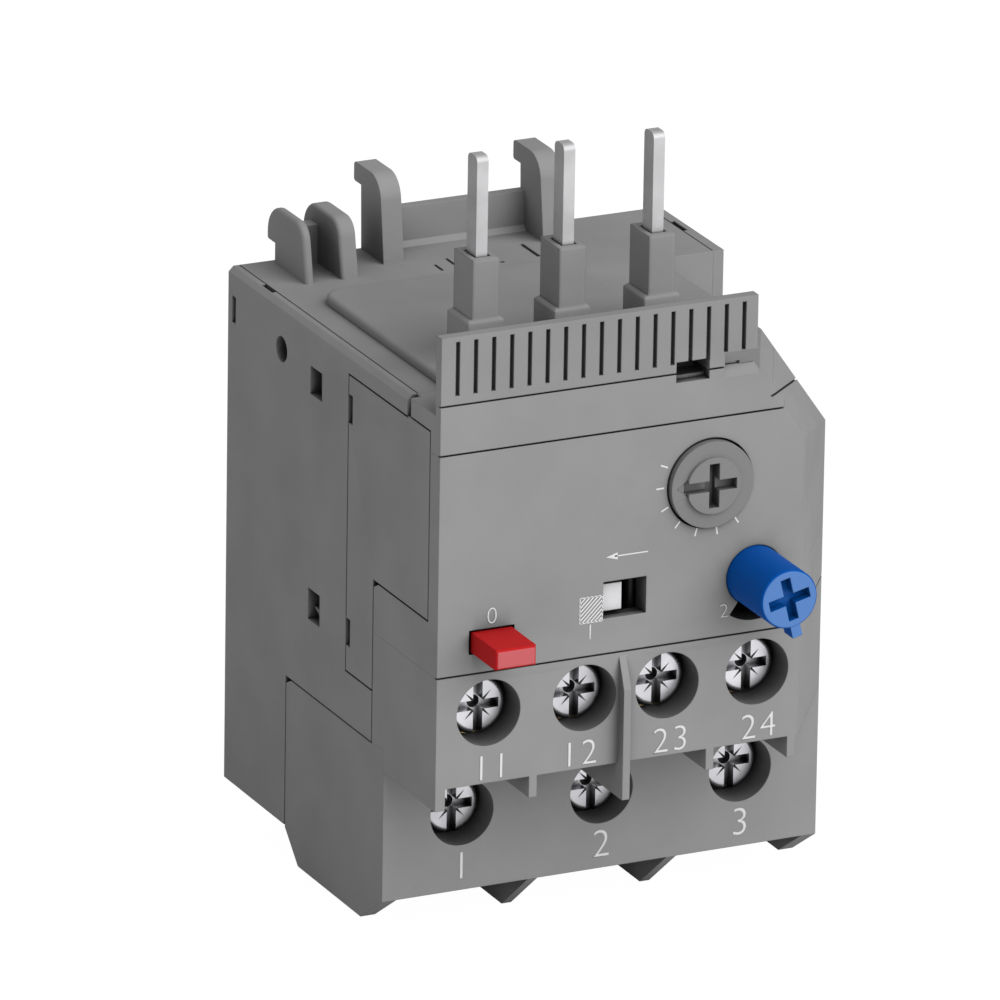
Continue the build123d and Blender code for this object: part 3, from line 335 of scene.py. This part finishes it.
# the same grey with rounder corners on the towers, and paler or darker painted shade in the hollows of
# some parts
own_looks = {
    "pin_carrier": plastic("tower_look", GREY, 0.62, round_mm=0.45),
    "ribbed_panel": plastic("panel_look", GREY, 0.62, least=0.35),
    "base_housing": plastic("housing_look", GREY, 0.62, least=0.45),
    "front_cover": plastic("cover_look", GREY, 0.62, open_at=0.75),
    "aux_terminal_block": plastic("aux_block_look", GREY, 0.62, least=0.25, open_at=0.85),
    "load_terminal_block": plastic("load_block_look", GREY, 0.62, least=0.05, open_at=0.95, alone=True),
}
ink = plastic("ink_look", (0.83, 0.83, 0.84), 0.6, grain=0.05, mottle=0.02)
groove_dark = plastic("groove_dark_look", (0.03, 0.03, 0.03), 0.6, grain=0.0, mottle=0.0)
for part in frame["record"]["subparts"]:
    node = frame["nodes"][part["node"]]
    look = own_looks.get(part["node"], looks[part["material_slot"]])
    if not node.material_slots:
        node.data.materials.append(look)
    for s in node.material_slots:
        s.link = "OBJECT"
        s.material = look

# the two return springs, as copies of their coils fixed to the case


def spring(name, node):
    """A copy of the node's coil, fixed to the case in place of the node, which is hidden."""
    coil = collection_link(bpy.data.objects.new(name, frame["nodes"][node].data.copy()))
    coil.data.materials.clear()
    coil.data.materials.append(looks["spring_steel"])
    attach(coil, "case")
    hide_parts(node)
    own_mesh(coil)


spring("reset_spring_coil", "reset_spring")
spring("stop_spring_coil", "stop_spring")

# printed marks; places and sizes are in mm, heights are from the outer walls' feet

PROUD = 0.02  # how far a mark stands off its face
MARK_Y = FRONT_Y - PROUD


def flat_mesh(name, outlines, place, look, body="case"):
    """Flat marks from outlines of number pairs, which place turns into points in the shared frame, mm."""
    verts = [[c * MM for c in place(*point)] for outline in outlines for point in outline]
    faces = []
    first = 0
    for outline in outlines:
        faces.append(list(range(first, first + len(outline))))
        first += len(outline)
    mesh = bpy.data.meshes.new(name)
    mesh.from_pydata(verts, [], faces)
    mesh.update()
    mesh.materials.append(look)
    obj = collection_link(bpy.data.objects.new(name, mesh))
    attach(obj, body)


def ahead(y):
    """The place of marks on a face that looks forward, drawn in X and Z."""
    return lambda x, z: (x, y, z + LIFT)


def stroke(x0, z0, x1, z1, w):
    """A line of width w as a four-cornered outline."""
    d = Vector((x1 - x0, z1 - z0)).normalized()
    s = Vector((-d.y, d.x)) * w / 2
    return [
        (x0 + s.x, z0 + s.y),
        (x0 - s.x, z0 - s.y),
        (x1 - s.x, z1 - s.y),
        (x1 + s.x, z1 + s.y),
    ]


LETTER_SPACE = 1.12
THINNER = 0.012  # taken off a digit's strokes, as a share of its size
NUMBER_HALF = 0.01  # half a printed number's thickness
NUMBERS = (  # name, text, X and height of its middle, size, face
    ("aux_number_1", "11", -16.85, 19.5, 3.6, MARK_Y),
    ("aux_number_2", "12", -7.86, 19.5, 3.6, MARK_Y),
    ("aux_number_3", "23", 1.5, 19.5, 3.6, MARK_Y),
    ("aux_number_4", "24", 10.55, 19.5, 3.6, MARK_Y),
    ("load_number_1", "1", -14.4, 5.4, 4.0, LOAD_Y - PROUD),
    ("load_number_2", "2", 0.05, 5.4, 4.0, LOAD_Y - PROUD),
    ("load_number_3", "3", 14.5, 5.4, 4.0, LOAD_Y - PROUD),
    ("stop_mark", "0", -17.0, 34.4, 2.3, MARK_Y),
    ("window_mark", "1", -6.98, 31.35, 2.2, MARK_Y),
    ("knob_mark", "2", 6.75, 31.45, 2.0, MARK_Y),
)


def number(name, text, x, z, size, y):
    """A printed number, drawn with the built-in font."""
    curve = bpy.data.curves.new(name, "FONT")
    curve.body = text
    curve.size = size * MM
    curve.align_x = "CENTER"
    curve.align_y = "CENTER"
    curve.space_character = LETTER_SPACE
    curve.offset = -THINNER * size * MM
    curve.extrude = NUMBER_HALF * MM
    obj = collection_link(bpy.data.objects.new(name, curve))
    obj.rotation_euler = (math.pi / 2, 0, 0)
    obj.location = (x * MM, y * MM, (z + LIFT) * MM)
    curve.materials.append(ink)
    bpy.context.view_layer.update()
    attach(obj, "case")


for row in NUMBERS:
    number(*row)

# dark joint lines where the side covers meet the deck

COVER_X = 21.4
JOINT_BACK = 46.6
JOINT_HALF = 0.06
JOINT_PROUD = 0.01
JOINT_FRONTS = {-COVER_X: 7.2, COVER_X: 33.2}  # on the right the deck's corner is cut off


def on_deck(x, y):
    """The place of marks on the deck, drawn in X and in Y from the front face."""
    return x, y + FRONT_Y, DECK_Z + LIFT + JOINT_PROUD


joint_lines = [
    [
        (x - JOINT_HALF, front),
        (x + JOINT_HALF, front),
        (x + JOINT_HALF, JOINT_BACK),
        (x - JOINT_HALF, JOINT_BACK),
    ]
    for x, front in JOINT_FRONTS.items()
]
flat_mesh("cover_joints", joint_lines, on_deck, groove_dark)

# four thin marks at 45 degrees on each screw head

HEAD_SUNK = 2.3  # a screw's head behind its block's face
AUX_X = (-17.2, -7.4, 1.05, 10.3)
AUX_SCREW_Z = 25.0
LOAD_X = (-14.4, 0.0, 14.4)
LOAD_SCREW_Z = 10.8
STAR_IN = 0.68  # from the screw's middle to a mark's blunt end
STAR_OUT = 1.85  # and to its point
STAR_HALF = 0.13


def star_marks(name, x, z, face_y, body):
    """Four pointed marks round a screw's middle, which move with its clamp plate's body."""
    wedges = []
    for i in range(4):
        a = math.radians(45 + 90 * i)
        dx, dz = math.cos(a), math.sin(a)
        wedges.append(
            [
                (x + STAR_IN * dx - STAR_HALF * dz, z + STAR_IN * dz + STAR_HALF * dx),
                (x + STAR_IN * dx + STAR_HALF * dz, z + STAR_IN * dz - STAR_HALF * dx),
                (x + STAR_OUT * dx, z + STAR_OUT * dz),
            ]
        )
    flat_mesh(name, wedges, ahead(face_y + HEAD_SUNK - PROUD), groove_dark, body)


for i, x in enumerate(AUX_X):
    star_marks(f"aux_screw_{i + 1}_marks", x, AUX_SCREW_Z, FRONT_Y, f"aux_clamp_{i + 1}")
for i, x in enumerate(LOAD_X):
    star_marks(f"load_screw_{i + 1}_marks", x, LOAD_SCREW_Z, LOAD_Y, f"load_clamp_{i + 1}")

# ticks round the dial

DIAL_X = 5.02
DIAL_Z = 44.6
TICK_COUNT = 7
TICK_IN = 4.7
TICK_OUT = 5.5
TICK_W = 0.17
FIRST_TICK = 157.5  # degrees
TICK_STEP = 24.3
ticks = []
for i in range(TICK_COUNT):
    a = math.radians(FIRST_TICK + TICK_STEP * i)
    dx, dz = math.cos(a), math.sin(a)
    inner = (DIAL_X + TICK_IN * dx, DIAL_Z + TICK_IN * dz)
    outer = (DIAL_X + TICK_OUT * dx, DIAL_Z + TICK_OUT * dz)
    ticks.append(stroke(*inner, *outer, TICK_W))
flat_mesh("dial_ticks", ticks, ahead(MARK_Y), ink)

# arrow over the window

ARROW_Z = 38.5
ARROW_LINE_X = (-1.2, -4.6)
ARROW_LINE_W = 0.13
ARROW_TIP_X = -5.5
ARROW_BARB_X = -4.3
ARROW_HALF = 0.35
arrow = [
    stroke(ARROW_LINE_X[0], ARROW_Z, ARROW_LINE_X[1], ARROW_Z, ARROW_LINE_W),
    [
        (ARROW_TIP_X, ARROW_Z),
        (ARROW_BARB_X, ARROW_Z - ARROW_HALF),
        (ARROW_BARB_X, ARROW_Z + ARROW_HALF),
    ],
]
flat_mesh("test_arrow", arrow, ahead(MARK_Y), ink)

# hatched square beside the window

HATCH_X = (-8.05, -5.75)
HATCH_Z = (32.35, 34.85)
HATCH_STEP = 0.42
HATCH_LINES = 10
HATCH_W = 0.13
BORDER_W = 0.1
hx0, hx1 = HATCH_X
hz0, hz1 = HATCH_Z
wide = hx1 - hx0
high = hz1 - hz0
hatch = []
for i in range(HATCH_LINES):
    c = (i + 1) * HATCH_STEP
    start = (hx1 - c, hz0) if c <= wide else (hx0, hz0 + c - wide)
    end = (hx1, hz0 + c) if c <= high else (hx1 - c + high, hz1)
    hatch.append(stroke(*start, *end, HATCH_W))
corners = [(hx0, hz0), (hx1, hz0), (hx1, hz1), (hx0, hz1)]
for start, end in zip(corners, corners[1:] + corners[:1]):
    hatch.append(stroke(*start, *end, BORDER_W))
flat_mesh("hatched_square", hatch, ahead(MARK_Y), ink)

# floor

F = 3.0  # half the floor's side, m
FLOOR_DROP = 0.0002
FLOOR_SEEN = 1.06
FLOOR_PLAIN = 0.93  # how much of what the camera sees of the floor is plain white; the rest has the shadow
FLOOR_CARD = (-0.04, -0.01)  # the Y where the card that reflections see in the floor ends, m
floor_mesh = bpy.data.meshes.new("floor")
floor_mesh.from_pydata([(-F, -F, 0), (F, -F, 0), (F, F, 0), (-F, F, 0)], [], [(0, 1, 2, 3)])
floor = collection_link(bpy.data.objects.new("floor", floor_mesh))
floor.location = (0, 0, -FLOOR_DROP)
floor_look, t, bsdf = new_material("floor_look")
t.feed(bsdf, {"Base Color": (0.7, 0.7, 0.7, 1), "Roughness": 0.9, "Specular IOR Level": 0.1})
ray = t.add("ShaderNodeLightPath", {}).outputs
position = t.add("ShaderNodeNewGeometry", {}).outputs["Position"]
depth = t.add("ShaderNodeSeparateXYZ", {0: position}).outputs["Y"]
card = t.span(depth, *FLOOR_CARD, CARD, ROOM)
gloss = t.add("ShaderNodeEmission", {"Color": WHITE, "Strength": card}).outputs[0]
seen = t.add("ShaderNodeEmission", {"Color": WHITE, "Strength": FLOOR_SEEN}).outputs[0]
unseen = t.switch(ray["Is Glossy Ray"], bsdf.outputs[0], gloss)
top = t.switch(t.times(ray["Is Camera Ray"], FLOOR_PLAIN), unseen, seen)
t.feed(floor_look.node_tree.nodes["Material Output"], {0: top})
floor_look.cycles.emission_sampling = "NONE"
floor_mesh.materials.append(floor_look)
